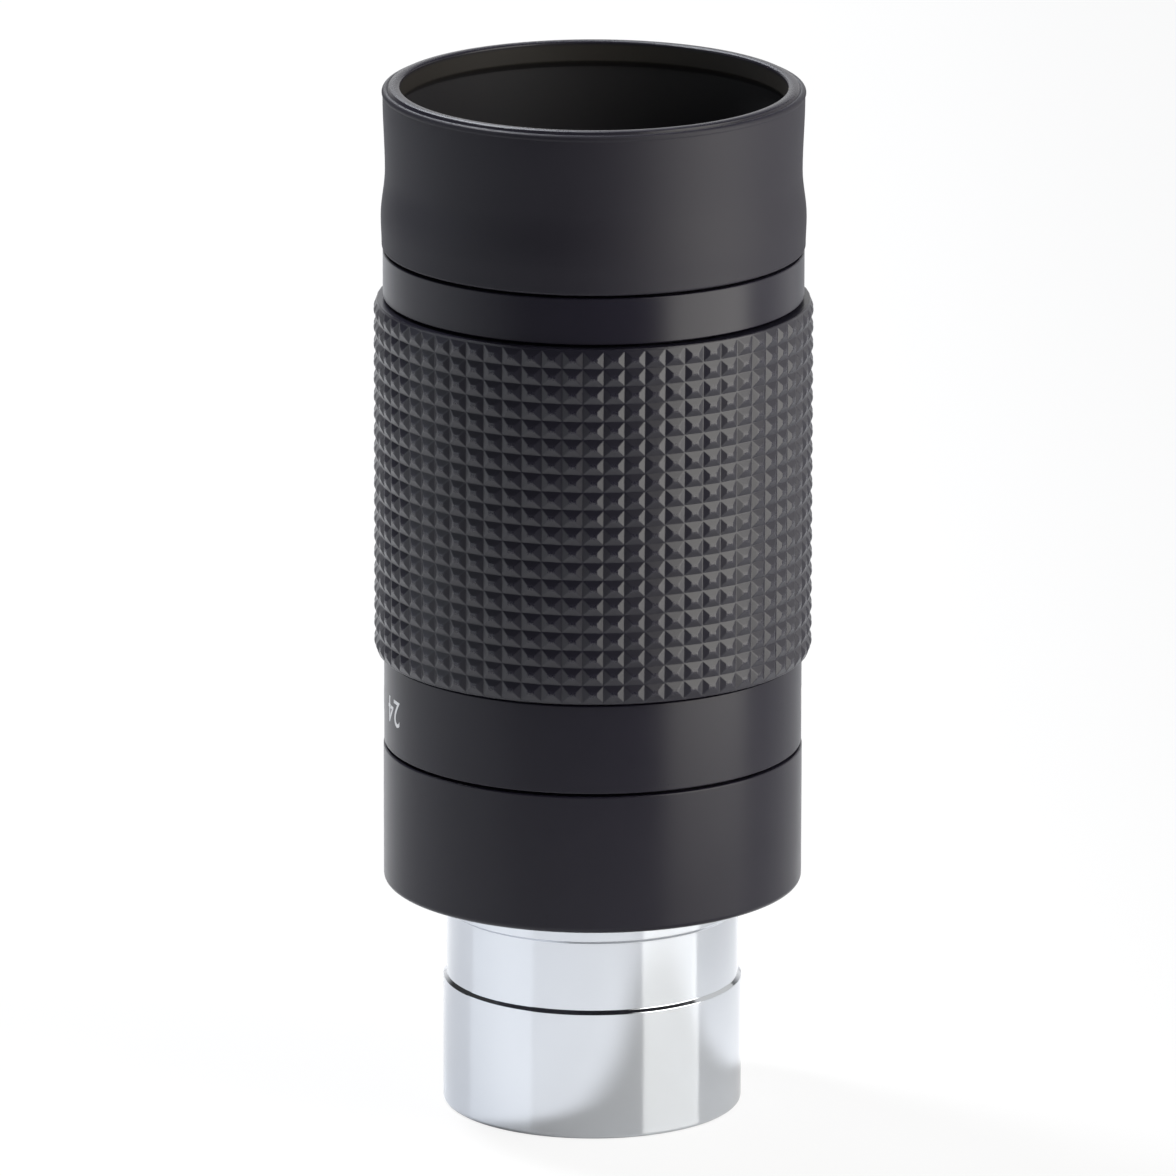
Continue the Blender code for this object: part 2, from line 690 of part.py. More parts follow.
def eye_lens_group(carrier):
    """Flanged cell on the collar, with the eye lens, a spacer and a cemented doublet under a ring."""
    outline = [
        (eye_hole, cell_foot),
        (cell_outer, cell_foot),
        (cell_outer, collar_top + GAP),
        (collar_radius - GAP, collar_top + GAP),
        (collar_radius - GAP, cell_top),
        (cell_inner, cell_top),
        (cell_inner, eye_ledge_top),
        (eye_hole, eye_ledge_top),
    ]
    local = [(radius, height - cell_foot) for radius, height in outline]
    turned("eye_lens_cell", local, "black_inside", carrier, cell_foot)
    lens("eye_lens", eye_rim, EYE_LENS_EDGE, EYE_LENS_CURVE, 0, carrier, eye_lens_foot)
    turned("eye_spacer", tube_outline(eye_hole, eye_rim, SPACER_HEIGHT), "black_inside", carrier, spacer_foot)
    lens("eye_doublet_crown", eye_rim, CROWN_EDGE, CROWN_CURVE, CEMENT_CURVE, carrier, eye_crown_foot)
    lens("eye_doublet_flint", eye_rim, eye_flint_edge, -CEMENT_CURVE, 0, carrier, eye_flint_foot)
    retainer("eye_retaining_ring", cell_inner, eye_hole, carrier, eye_retainer_foot, 1)


def cam_pins(tube, carrier, prefix, names, degrees, height, bore):
    """Two opposite pins in blind holes of a carriage. Their bushes run in the guide and cam slots."""
    hole_foot = bore + PIN_SKIN
    pin_foot = hole_foot + PIN_FIT
    bush_foot = carriage_outer + RUNNING_GAP
    bush_outline = tube_outline(PIN_RADIUS + PIN_FIT, BUSH_RADIUS, pin_outer - bush_foot)
    for index, side in enumerate(names):
        facing = degrees + 180 * index
        pin_name = prefix + "_pin_" + side
        hole_radius = PIN_RADIUS + PIN_FIT
        drill(tube, pin_name + "_hole", carrier, facing, hole_foot, guide_outer, height, hole_radius)
        pin = dowel_outline(PIN_RADIUS, pin_outer - pin_foot)
        radial_piece(pin_name, pin, "steel", carrier, facing, pin_foot, height)
        bush_name = prefix + "_bush_" + side
        radial_piece(bush_name, bush_outline, "brass", carrier, facing, bush_foot, height, closed=True)


def upper_carriage(carrier):
    """Carriage tube with the field stop in its foot and a positive doublet held from above."""
    outline = [
        (upper_inner, 0),
        (carriage_outer, 0),
        (carriage_outer, upper_height),
        (upper_inner, upper_height),
        (upper_inner, stop_recess + LEDGE_HEIGHT),
        (upper_hole, stop_recess + LEDGE_HEIGHT),
        (upper_hole, stop_recess),
        (upper_inner, stop_recess),
    ]
    tube = turned("upper_carriage_tube", outline, "black_inside", carrier, upper_foot)
    stop_outline = tube_outline(FIELD_STOP_DIAMETER / 2, upper_rim, FIELD_STOP_HEIGHT)
    turned("field_stop", stop_outline, "black_inside", carrier, upper_foot + RETAINER_SINK)
    flint_foot = upper_foot + upper_flint_rise
    crown_foot = upper_foot + upper_crown_rise
    lens("upper_flint_lens", upper_rim, upper_flint_edge, -CEMENT_CURVE, 0, carrier, flint_foot)
    lens("upper_crown_lens", upper_rim, CROWN_EDGE, CROWN_CURVE, CEMENT_CURVE, carrier, crown_foot)
    retainer("upper_retaining_ring", upper_inner, upper_hole, carrier, upper_foot + upper_retainer_rise, 1)
    cam_pins(tube, carrier, "upper", ("front", "back"), UPPER_PIN_DEGREES, upper_pin_height, upper_inner)


def lower_carriage(carrier):
    """Carriage tube whose long nose reaches down the barrel, with a negative doublet at its lower end."""
    outline = [
        (nose_inner, 0),
        (nose_outer, 0),
        (nose_outer, nose_step_rise),
        (carriage_outer, nose_step_rise),
        (carriage_outer, lower_top_rise),
        (lower_inner, lower_top_rise),
        (lower_inner, nose_step_rise + NOSE_SHOULDER),
        (field_hole, nose_step_rise + NOSE_SHOULDER),
        (field_hole, field_ledge_rise),
        (nose_inner, field_ledge_rise),
    ]
    tube = turned("lower_carriage_tube", outline, "black_inside", carrier, nose_foot)
    retainer("field_retaining_ring", nose_inner, field_hole, carrier, nose_foot + RETAINER_SINK, -1)
    flint_foot = nose_foot + field_flint_rise
    crown_foot = nose_foot + field_crown_rise
    cement = FIELD_CEMENT_CURVE
    lens("field_flint_lens", field_rim, field_flint_edge, -cement, -FIELD_HOLLOW_CURVE, carrier, flint_foot)
    lens("field_crown_lens", field_rim, FIELD_CROWN_EDGE, 0, cement, carrier, crown_foot)
    cam_pins(tube, carrier, "lower", ("right", "left"), LOWER_PIN_DEGREES, lower_pin_height, lower_inner)


def build():
    clear_scene()
    base_axis = axis_empty("base_axis", 0)
    head_axis = axis_empty("head_axis", band_foot)
    upper_axis = axis_empty("upper_axis", upper_pin_height)
    lower_axis = axis_empty("lower_axis", lower_pin_height)
    nosepiece(base_axis)
    lower_housing(base_axis)
    guide(base_axis)
    shell = zoom_barrel(head_axis)
    cam_sleeve(head_axis, shell)
    grip_sleeve(head_axis)
    top_ring(head_axis)
    eyecup(head_axis)
    eye_lens_group(head_axis)
    upper_carriage(upper_axis)
    lower_carriage(lower_axis)


build()
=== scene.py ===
"""Zoom telescope eyepiece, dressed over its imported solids.

Fine edges, filter thread, stud grip, printed scale, finishes, studio light and camera.
Metres, +Z up along the optical axis. Degrees round the axis count from the front, -Y, towards +X.
"""

import json
import math

import bmesh
import bpy
from mathutils import Matrix, Vector


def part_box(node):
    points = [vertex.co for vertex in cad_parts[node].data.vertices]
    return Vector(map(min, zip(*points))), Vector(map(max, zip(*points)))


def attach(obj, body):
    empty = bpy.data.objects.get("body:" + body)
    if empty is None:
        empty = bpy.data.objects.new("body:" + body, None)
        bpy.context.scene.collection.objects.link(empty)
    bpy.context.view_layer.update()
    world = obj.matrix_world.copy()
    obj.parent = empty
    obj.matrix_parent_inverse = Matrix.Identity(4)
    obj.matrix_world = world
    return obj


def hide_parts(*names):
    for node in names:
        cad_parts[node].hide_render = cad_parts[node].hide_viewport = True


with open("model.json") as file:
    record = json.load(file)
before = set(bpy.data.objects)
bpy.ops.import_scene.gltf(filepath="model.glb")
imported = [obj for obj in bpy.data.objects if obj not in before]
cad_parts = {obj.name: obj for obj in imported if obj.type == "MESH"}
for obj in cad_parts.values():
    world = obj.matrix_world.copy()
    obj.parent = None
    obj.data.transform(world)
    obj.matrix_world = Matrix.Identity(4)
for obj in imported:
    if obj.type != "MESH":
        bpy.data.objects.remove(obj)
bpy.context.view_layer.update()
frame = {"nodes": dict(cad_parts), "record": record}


def span(node):
    """A solid's widest radius, its foot and its top."""
    low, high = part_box(node)
    return high.x, low.z, high.z


def on_arc(centre, radius, degrees):
    """A corner at an angle round a centre, in the radius and height plane."""
    angle = math.radians(degrees)
    return centre[0] + radius * math.cos(angle), centre[1] + radius * math.sin(angle)


# Facets round a full turn, and steps from the axis to the rim of a lens
FINE_TURN = 192
LENS_TURN = 96
PIN_TURN = 26
INDEX_TURN = 32
LENS_STEPS = 12

# Modelling: where points count as one, the plane that an outline starts from, and shading
MERGE = 1e-6
START_SIZE = 0.001
EDGE_SEGMENTS = 3
EDGE_ABOVE = math.radians(28)
SMOOTH_BELOW = math.radians(32)
STUD_SMOOTH_BELOW = math.radians(24)
WIDE_FACE_WEIGHT = 90
MILLIMETRES = 1000

# Play between pieces that meet, and the fine edges broken on turned ones
GAP = 0.0003
RUNNING_GAP = 0.0002
SEAM_EDGE = 0.0001
BROKEN_EDGE = 0.00006
CHROME_BROKEN_EDGE = 0.00005
CELL_BROKEN_EDGE = 0.00008
INSIDE_BROKEN_EDGE = 0.00012

# Outer sizes of the solids
BARREL_RADIUS, BARREL_FOOT, SHANK_TOP = span("nosepiece_barrel")
BODY_RADIUS, HOUSING_FOOT, HOUSING_TOP = span("lower_housing")
BAND_RADIUS, SPIGOT_FOOT, SHELL_TOP = span("zoom_barrel")
GRIP_FOOT, GRIP_TOP = span("grip_sleeve")[1:]
RING_RADIUS, NECK_FOOT, COLLAR_TOP = span("top_ring")
CUP_RADIUS, CUP_FOOT, CUP_CREST = span("eyecup")

# Barrel
BARREL_BORE = BARREL_RADIUS - 0.0023
BARREL_EDGE = 0.0004
UNDERCUT_FOOT = 0.01375
UNDERCUT_TOP = HOUSING_FOOT - 0.0027
UNDERCUT_DEPTH = 0.00035
BARREL_SHOULDER = HOUSING_FOOT + GAP
SHANK_RADIUS = BARREL_RADIUS - 0.0011
THREAD_RADIUS = BARREL_BORE + 0.0004
THREAD_DEPTH = 0.0045
THREAD_PITCH = 0.0006
THREAD_HEIGHT = 0.00032
THREAD_TURNS = 5
THREAD_START = 0.00055
# Shares of the pitch at which the ridge's crest starts and ends, and its upper flank ends
THREAD_CREST_START = 0.42
THREAD_CREST_END = 0.5
THREAD_FLANK_END = 0.92

# Housing, band and ring
HOUSING_FLOOR = SHANK_TOP + GAP
HOUSING_EDGE = 0.0006
HOUSING_SEAT_RADIUS = BARREL_RADIUS + GAP
HOUSING_SEAT_TOP = BARREL_SHOULDER + GAP
HOUSING_HOLE = SHANK_RADIUS + GAP
CAVITY_RADIUS = BODY_RADIUS - 0.0015
BAND_FOOT = HOUSING_TOP + GAP
BAND_TOP = GRIP_FOOT - GAP
SPIGOT_RADIUS = CAVITY_RADIUS - RUNNING_GAP
SEAT_RADIUS = BODY_RADIUS - 0.0013
SHELL_BORE = SEAT_RADIUS - 0.0017
RING_FOOT = GRIP_TOP + GAP
RING_TOP = CUP_FOOT - GAP
NECK_RADIUS = SHELL_BORE - GAP
COLLAR_RADIUS = CUP_RADIUS - 0.0024
COLLAR_GROOVE = (CUP_FOOT + 0.0009, CUP_FOOT + 0.0027)
COLLAR_GROOVE_RADIUS = COLLAR_RADIUS - 0.0005
RING_BORE = COLLAR_RADIUS - 0.003

# Grip
GRIP_BORE = SEAT_RADIUS + GAP
GRIP_BASE = GRIP_BORE + 0.00168
GRIP_EDGE = 0.0002
STUD_ROWS = 20
STUD_COLUMNS = 66
# Inset and rise of each step up a stud, the rise of its tip and the width of its blunt ridges
STUD_STEPS = ((0.00005, 0.0), (0.0006, 0.00027), (0.00012, 0.00004))
STUD_TIP = 0.00002
STUD_RIDGE = 0.00009
STUD_RIDGE_ABOVE = math.radians(12)
# Heights above the base between which wear sets in
STUD_WEAR = (0.00015, 0.0003)

# Eyecup: radii and heights of its outline, from the foot up, and degrees along the dome of its lip
CUP_FOOT_INNER = CUP_RADIUS - 0.0021
CUP_FOOT_RADIUS = CUP_RADIUS - 0.00009
CUP_FOOT_EDGE = 0.0003
CUP_BULGE = (CUP_RADIUS, CUP_FOOT + 0.0033)
CUP_WAIST = (CUP_RADIUS - 0.00045, CUP_FOOT + 0.0083)
CUP_LIP_RADIUS = CUP_RADIUS - 0.0001
CUP_UNDER_LIP = (CUP_LIP_RADIUS - 0.00011, CUP_CREST - 0.001)
CUP_BEAD_ROUND = 0.0004
CUP_BEAD_CENTRE = (CUP_LIP_RADIUS - 0.00042, CUP_CREST - 0.00072)
CUP_GROOVE = (CUP_LIP_RADIUS - 0.0006, CUP_CREST - 0.00037)
CUP_DOME = 0.0018
CUP_DOME_START = 76
CUP_DOME_END = 104
CUP_DOME_CENTRE = (CUP_LIP_RADIUS - 0.0013, CUP_CREST - CUP_DOME)
CUP_BROW = 0.0002
CUP_BROW_CENTRE = on_arc(CUP_DOME_CENTRE, CUP_DOME - CUP_BROW, CUP_DOME_START)
CUP_CROWN = 0.00025
CUP_CROWN_CENTRE = on_arc(CUP_DOME_CENTRE, CUP_DOME - CUP_CROWN, CUP_DOME_END)
CUP_LIP_INNER = (CUP_CROWN_CENTRE[0] - CUP_CROWN, CUP_CREST - 0.00205)
CUP_INNER = (CUP_RADIUS - 0.0015, CUP_CREST - 0.00295)
CUP_FLOOR = COLLAR_TOP + GAP
CUP_KEY = CUP_FOOT_INNER - 0.0005
CUP_KEY_SPAN = (CUP_FOOT + 0.0012, CUP_FOOT + 0.0024)
CUP_RIM_SHEEN = (CUP_CREST - 0.0006, CUP_CREST - 0.00015)
# Width over which the painted light on the cup's inside fades in
CUP_INSIDE_LIGHT_BLEND = 0.0004

# Eye lens group and field lens group
CELL_RADIUS = RING_BORE - GAP
CELL_INNER = CELL_RADIUS - 0.0042
CELL_FLANGE_RADIUS = COLLAR_RADIUS - GAP
CELL_EDGE = 0.0003
LEDGE = 0.0012
LENS_FIT = 0.00015
EYE_HOLE = CELL_INNER - LENS_FIT - LEDGE
NOTCH_WIDTH = 0.0015
NOTCH_DEPTH = 0.0007
# Length of the notches' cutter, in radii of the ring
NOTCH_REACH = 2.4
EYE_CURVE = 0.04
FIELD_HOLLOW = 0.045
FIELD_CEMENT = 0.04
CARRIAGE_WALL = 0.0026
NOSE_RADIUS = BARREL_BORE - RUNNING_GAP
NOSE_INNER = NOSE_RADIUS - 0.0014
NOSE_STEP_DROP = 0.007
NOSE_SHOULDER = 0.0016
FIELD_HOLE = NOSE_INNER - LENS_FIT - LEDGE
PIN_SKIN = 0.0006
PIN_HOLE_RADIUS = 0.00085

# Printed scale: focal lengths and their share of the full turn, and places in degrees round the axis
SCALE = ((24, 0.0), (20, 0.1), (16, 0.25), (14, 0.357), (12, 0.5), (10, 0.7), (8, 1.0))
SCALE_START = -72.0
SCALE_TURN = -200.0
SCALE_HEIGHT = 0.0446
NUMBER_SIZE = 0.0041
PRINT_LIFT = 0.00002
PRINT_THICKNESS = 0.00004
INDEX_DEGREES = -172.0
INDEX_HEIGHT = 0.0369
INDEX_RADIUS = 0.00045
INDEX_LENGTH = 0.0012

# Camera
PHOTO_SIDE = 1176
CAMERA_ELEVATION = math.radians(15.15)
CAMERA_ROLL = math.radians(0.1)
CAMERA_DISTANCE = 1.519
CAMERA_AIM = Vector((-0.00053, 0.0, 0.05616))
CAMERA_FOCUS_PIXELS = 14349
CAMERA_CLIP = (0.05, 50)
SENSOR = 36.0

# Floor: its size, its drop below the barrel's foot, and the shares of white and of polish in its look
FLOOR_SIZE = 8
FLOOR_DROP = 0.00005
FLOOR_WHITE = 0.86
FLOOR_POLISH = 0.58


def deselect_all():
    bpy.ops.object.select_all(action="DESELECT")


def select_only(piece):
    deselect_all()
    piece.select_set(True)
    bpy.context.view_layer.objects.active = piece


def mode(name):
    bpy.ops.object.mode_set(mode=name)


def new_piece(name, add, **settings):
    """Adds a primitive with nothing else selected, and names it."""
    deselect_all()
    add(**settings)
    piece = bpy.context.object
    piece.name = name
    piece.data.name = name
    return piece


def choose(piece, kind, test):
    """Selects in edit mode the points or edges that pass a test."""
    bpy.ops.mesh.select_mode(type=kind)
    bpy.ops.mesh.select_all(action="DESELECT")
    shape = bmesh.from_edit_mesh(piece.data)
    items = {"VERT": shape.verts, "EDGE": shape.edges}[kind]
    for item in items:
        if test(item):
            item.select_set(True)
    shape.select_flush_mode()
    bmesh.update_edit_mesh(piece.data)


def apply_modifier(piece, kind, **settings):
    modifier = piece.modifiers.new(kind.lower(), kind)
    for name, value in settings.items():
        setattr(modifier, name, value)
    bpy.context.view_layer.objects.active = piece
    bpy.ops.object.modifier_apply(modifier=modifier.name)


def resize(piece, factor):
    piece.scale = (factor, factor, factor)
    bpy.ops.object.transform_apply(location=False, rotation=False, scale=True)


def smooth(piece, angle=SMOOTH_BELOW):
    """Smooths the shading, with the wide faces kept true next to fine rounded edges.

    The modifier that weighs the faces needs areas near 1, so the piece is in millimetres while it runs.
    """
    select_only(piece)
    bpy.ops.object.shade_smooth_by_angle(angle=angle)
    resize(piece, MILLIMETRES)
    apply_modifier(piece, "WEIGHTED_NORMAL", mode="FACE_AREA", weight=WIDE_FACE_WEIGHT, keep_sharp=True)
    resize(piece, 1 / MILLIMETRES)


def draw_outline(name, outline, closed=True):
    """Draws corners of (radius, height) by extruding one point, and leaves the piece in edit mode."""
    piece = new_piece(name, bpy.ops.mesh.primitive_plane_add, size=START_SIZE)
    mode("EDIT")
    bpy.ops.mesh.select_mode(type="VERT")
    bpy.ops.mesh.select_all(action="SELECT")
    bpy.ops.mesh.merge(type="CENTER")
    bpy.ops.transform.translate(value=(outline[0][0], 0, outline[0][1]))
    for before, after in zip(outline, outline[1:]):
        step = (after[0] - before[0], 0, after[1] - before[1])
        bpy.ops.mesh.extrude_vertices_move(TRANSFORM_OT_translate={"value": step})
    if closed:
        choose(piece, "VERT", lambda point: len(point.link_edges) == 1)
        bpy.ops.mesh.edge_face_add()
    return piece


def turn(name, outline, edge=0.0, closed=True, steps=FINE_TURN):
    """A turned piece: its outline spun round the axis, with its sharp edges rounded."""
    piece = draw_outline(name, outline, closed)
    bpy.ops.mesh.select_all(action="SELECT")
    bpy.ops.mesh.spin(steps=steps, angle=math.tau, center=(0, 0, 0), axis=(0, 0, 1))
    bpy.ops.mesh.select_all(action="SELECT")
    bpy.ops.mesh.remove_doubles(threshold=MERGE)
    bpy.ops.mesh.normals_make_consistent(inside=False)
    mode("OBJECT")
    if edge:
        limits = {"limit_method": "ANGLE", "angle_limit": EDGE_ABOVE}
        apply_modifier(piece, "BEVEL", width=edge, segments=EDGE_SEGMENTS, **limits)
    smooth(piece)
    return piece


def arc(centre, radius, start, end, steps):
    """Corners along an arc in the radius and height plane, in degrees."""
    return [on_arc(centre, radius, start + (end - start) * step / steps) for step in range(steps + 1)]


def ease(start, end, steps):
    """Corners of a gentle S from start to end, without the start."""
    corners = []
    for step in range(1, steps + 1):
        share = step / steps
        blend = (1 - math.cos(math.pi * share)) / 2
        corners.append((start[0] + (end[0] - start[0]) * blend, start[1] + (end[1] - start[1]) * share))
    return corners


def take_out(piece, cutter):
    """Cuts the cutter's shape out of a piece, and removes the cutter."""
    apply_modifier(piece, "BOOLEAN", operation="DIFFERENCE", solver="EXACT", object=cutter)
    bpy.data.objects.remove(cutter)


def cut_block(piece, size, place):
    """Takes a box out of a piece."""
    block = new_piece("notch_cutter", bpy.ops.mesh.primitive_cube_add, size=1, location=place, scale=size)
    take_out(piece, block)


def drill(piece, middle, length, height):
    """Takes a round hole along X out of a piece, for a cam pin."""
    bit = new_piece(
        "pin_drill",
        bpy.ops.mesh.primitive_cylinder_add,
        vertices=PIN_TURN,
        radius=PIN_HOLE_RADIUS,
        depth=length,
        location=(middle, 0, height),
        rotation=(0, math.pi / 2, 0),
    )
    take_out(piece, bit)


def sag(curve, radius):
    """How far a curved face falls between the axis and a radius."""
    return curve - math.sqrt(curve * curve - radius * radius)


def lens_face(curve, rim, height):
    """Corners from the axis out to the rim. A positive curve is highest on the axis."""
    corners = []
    for step in range(LENS_STEPS + 1):
        radius = rim * step / LENS_STEPS
        drop = math.copysign(sag(abs(curve), radius), curve)
        corners.append((radius, height - drop))
    return corners


# Finishes


class Value:
    """A number that changes over a surface. Arithmetic on it adds Math nodes."""

    def __init__(self, finish, socket):
        self.finish = finish
        self.socket = socket

    def maths(self, operation, *terms):
        return self.finish.node("ShaderNodeMath", {"operation": operation}, dict(enumerate(terms)))

    def __add__(self, other):
        return self.maths("ADD", self, other)

    def __sub__(self, other):
        return self.maths("SUBTRACT", self, other)

    def __rsub__(self, other):
        return self.maths("SUBTRACT", other, self)

    def __mul__(self, other):
        return self.maths("MULTIPLY", self, other)

    def __pow__(self, power):
        return self.maths("POWER", self, power)

    __radd__ = __add__
    __rmul__ = __mul__

    def between(self, low, high):
        """Rises smoothly from 0 at low to 1 at high."""
        sockets = {"Value": self, "From Min": low, "From Max": high}
        return self.finish.node("ShaderNodeMapRange", {"interpolation_type": "SMOOTHSTEP"}, sockets)


class Finish:
    """A material, or the world, and the nodes that vary it."""

    def __init__(self, name, holder=None):
        self.material = holder or bpy.data.materials.new(name)
        self.material.use_nodes = True
        self.tree = self.material.node_tree

    def node(self, kind, settings=None, sockets=None, out=0):
        """Adds a node, sets it up, then gives its sockets their values or links."""
        made = self.tree.nodes.new(kind)
        for name, value in (settings or {}).items():
            setattr(made, name, value)
        for name, value in (sockets or {}).items():
            self.feed(made.inputs[name], value)
        return Value(self, made.outputs[out])

    def feed(self, socket, value):
        if isinstance(value, Value):
            self.tree.links.new(value.socket, socket)
        else:
            socket.default_value = value

    def surface(self, **sockets):
        """Sets the shader's own sockets. Spaces in their names are written as underscores."""
        shader = self.tree.nodes["Principled BSDF"]
        for name, value in sockets.items():
            self.feed(shader.inputs[name.replace("_", " ")], value)
        return self

    def place(self, kind="Object"):
        return self.node("ShaderNodeTexCoord", out=kind)

    def axes(self, kind="Object"):
        """The three coordinates of a point on the surface, as numbers."""
        split = self.tree.nodes.new("ShaderNodeSeparateXYZ")
        self.feed(split.inputs[0], self.place(kind))
        return [Value(self, output) for output in split.outputs]

    def radius(self):
        """How far a point on the surface is from the optical axis."""
        x, y = self.axes()[:2]
        return (x * x + y * y) ** 0.5

    def ray(self, kind):
        """1 for rays of one kind, such as Camera, and 0 for all others."""
        return self.node("ShaderNodeLightPath", out="Is " + kind + " Ray")

    def stretched(self, scale):
        return self.node("ShaderNodeMapping", None, {"Vector": self.place(), "Scale": scale})

    def noise(self, scale, detail, vector=None):
        sockets = {"Vector": vector or self.place(), "Scale": scale, "Detail": detail}
        return self.node("ShaderNodeTexNoise", None, sockets)

    def specks(self, scale):
        """Distance to the nearest of many scattered points."""
        sockets = {"Vector": self.place(), "Scale": scale}
        return self.node("ShaderNodeTexVoronoi", None, sockets, out="Distance")

    def blend(self, share, low, high):
        """A colour between two others."""
        low, high = (shade if isinstance(shade, Value) else (*shade, 1) for shade in (low, high))
        return self.node("ShaderNodeMix", {"data_type": "RGBA"}, {0: share, 6: low, 7: high}, out=2)

    def relief(self, height, distance, strength=1.0):
        sockets = {"Height": height, "Distance": distance, "Strength": strength}
        return self.node("ShaderNodeBump", None, sockets)


def bright_chrome():
    finish = Finish("bright_chrome")
    turning = finish.noise(1.0, 3.0, finish.stretched((90, 90, 7000)))
    cloud = finish.noise(140, 3.0)
    return finish.surface(
        Base_Color=finish.blend(cloud, (0.613, 0.637, 0.680), (0.651, 0.676, 0.719)),
        Metallic=1.0,
        Roughness=0.06 + 0.035 * turning + 0.03 * cloud,
        Normal=finish.relief(turning, 0.0000006),
    )


def black_anodised():
    finish = Finish("black_anodised")
    grain = finish.noise(7500, 3.0)
    cloud = finish.noise(120, 4.0)
    return finish.surface(
        Base_Color=finish.blend(cloud, (0.0075, 0.0066, 0.0125), (0.0112, 0.0100, 0.0168)),
        Roughness=0.24 + 0.06 * grain + 0.05 * cloud,
        Specular_IOR_Level=0.25,
        Normal=finish.relief(grain, 0.000004, 0.6),
    )


def cup_rubber():
    finish = Finish("cup_rubber")
    grain = finish.noise(5200, 4.0)
    cloud = finish.noise(70, 4.0)
    dust = (1 - finish.specks(420.0).between(0.02, 0.05)) * cloud.between(0.45, 0.75)
    bloom = 0.55 * cloud + 0.45 * dust
    height = finish.axes()[2]
    rim = height.between(*CUP_RIM_SHEEN)
    # Painted light: the inside wall is the same rubber as the outside, but its colour is painted lighter,
    # and warmer towards the lip's inner face, to stand in for light falling inside the cup
    under_lip = height.between(CUP_INNER[1], CUP_LIP_INNER[1])
    inside = 1 - finish.radius().between(CUP_INNER[0], CUP_INNER[0] + CUP_INSIDE_LIGHT_BLEND)
    outer = finish.blend(bloom, (0.0100, 0.0090, 0.0150), (0.0190, 0.0178, 0.0250))
    painted_inside_light = finish.blend(under_lip, (0.0180, 0.0172, 0.0195), (0.0220, 0.0195, 0.0175))
    return finish.surface(
        Base_Color=finish.blend(inside * (1 - rim), outer, painted_inside_light),
        Roughness=0.47 + 0.10 * cloud + 0.05 * grain - 0.27 * rim,
        Specular_IOR_Level=0.25,
        Normal=finish.relief(grain, 0.000006, 0.7),
    )


def grip_rubber():
    finish = Finish("grip_rubber")
    low, high = STUD_WEAR
    tip = finish.radius().between(GRIP_BASE + low, GRIP_BASE + high)
    grain = finish.noise(6000, 3.0)
    cloud = finish.noise(110, 4.0)
    wear = tip * (0.35 + 0.65 * cloud)
    return finish.surface(
        Base_Color=finish.blend(wear, (0.0090, 0.0083, 0.0145), (0.0155, 0.0145, 0.0230)),
        Roughness=0.27 - 0.04 * wear + 0.06 * grain,
        Specular_IOR_Level=0.40,
        Normal=finish.relief(grain, 0.000005, 0.6),
    )


def matte_black():
    finish = Finish("matte_black")
    turning = finish.noise(1.0, 2.0, finish.stretched((120, 120, 5000)))
    cloud = finish.noise(160, 3.0)
    return finish.surface(
        Base_Color=finish.blend(cloud, (0.008, 0.008, 0.009), (0.014, 0.014, 0.015)),
        Roughness=0.62 + 0.12 * cloud,
        Specular_IOR_Level=0.35,
        Normal=finish.relief(turning, 0.000004, 0.5),
    )


def machined_metal(name, low, high, roughness):
    finish = Finish(name)
    turning = finish.noise(1.0, 3.0, finish.stretched((150, 150, 4500)))
    cloud = finish.noise(200, 3.0)
    return finish.surface(
        Base_Color=finish.blend(cloud, low, high),
        Metallic=1.0,
        Roughness=roughness + 0.12 * turning,
        Normal=finish.relief(turning, 0.000003, 0.6),
    )


def slip_plastic():
    finish = Finish("ivory_slip_plastic")
    cloud = finish.noise(300, 4.0)
    return finish.surface(
        Base_Color=finish.blend(cloud, (0.62, 0.61, 0.56), (0.74, 0.73, 0.69)),
        Roughness=0.45 + 0.15 * cloud,
    )


def coated_glass(name, film):
    """Clear optical glass with a thin coating whose thickness sets the tint of its reflections."""
    finish = Finish(name)
    smear = finish.noise(240, 3.0)
    return finish.surface(
        Base_Color=(0.985, 0.99, 0.985, 1),
        Roughness=0.012 * smear,
        IOR=1.52,
        Transmission_Weight=1.0,
        Thin_Film_Thickness=film,
        Thin_Film_IOR=1.38,
    )


def white_print():
    finish = Finish("white_print")
    cloud = finish.noise(2600, 3.0)
    return finish.surface(
        Base_Color=finish.blend(cloud, (0.50, 0.50, 0.52), (0.66, 0.66, 0.67)),
        Roughness=0.5 + 0.12 * cloud,
    )


CHROME = bright_chrome()
ANODISED = black_anodised()
CUP_RUBBER = cup_rubber()
GRIP_RUBBER = grip_rubber()
MATTE_BLACK = matte_black()
BRASS = machined_metal("machined_brass", (0.62, 0.43, 0.17), (0.72, 0.53, 0.24), 0.24)
STEEL = machined_metal("ground_steel", (0.52, 0.52, 0.54), (0.62, 0.62, 0.64), 0.22)
SLIP_PLASTIC = slip_plastic()
EYE_GLASS = coated_glass("eye_glass", 420.0)
FIELD_GLASS = coated_glass("field_glass", 520.0)
PRINT = white_print()

NODE_FINISHES = {
    "chrome": CHROME,
    "black_satin": ANODISED,
    "black_rubber": CUP_RUBBER,
    "black_inside": MATTE_BLACK,
    "brass": BRASS,
    "steel": STEEL,
    "slip_plastic": SLIP_PLASTIC,
    "coated_glass": EYE_GLASS,
}


def set_finish(piece, finish):
    piece.data.materials.clear()
    piece.data.materials.append(finish.material)


def dress(piece, finish, body, slot, *nodes):
    """Gives a piece its finish and the body it moves with, and hides the solids it stands for. Its slot is
    not used.
    """
    set_finish(piece, finish)
    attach(piece, body)
    if nodes:
        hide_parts(*nodes)
    return piece


# Pieces


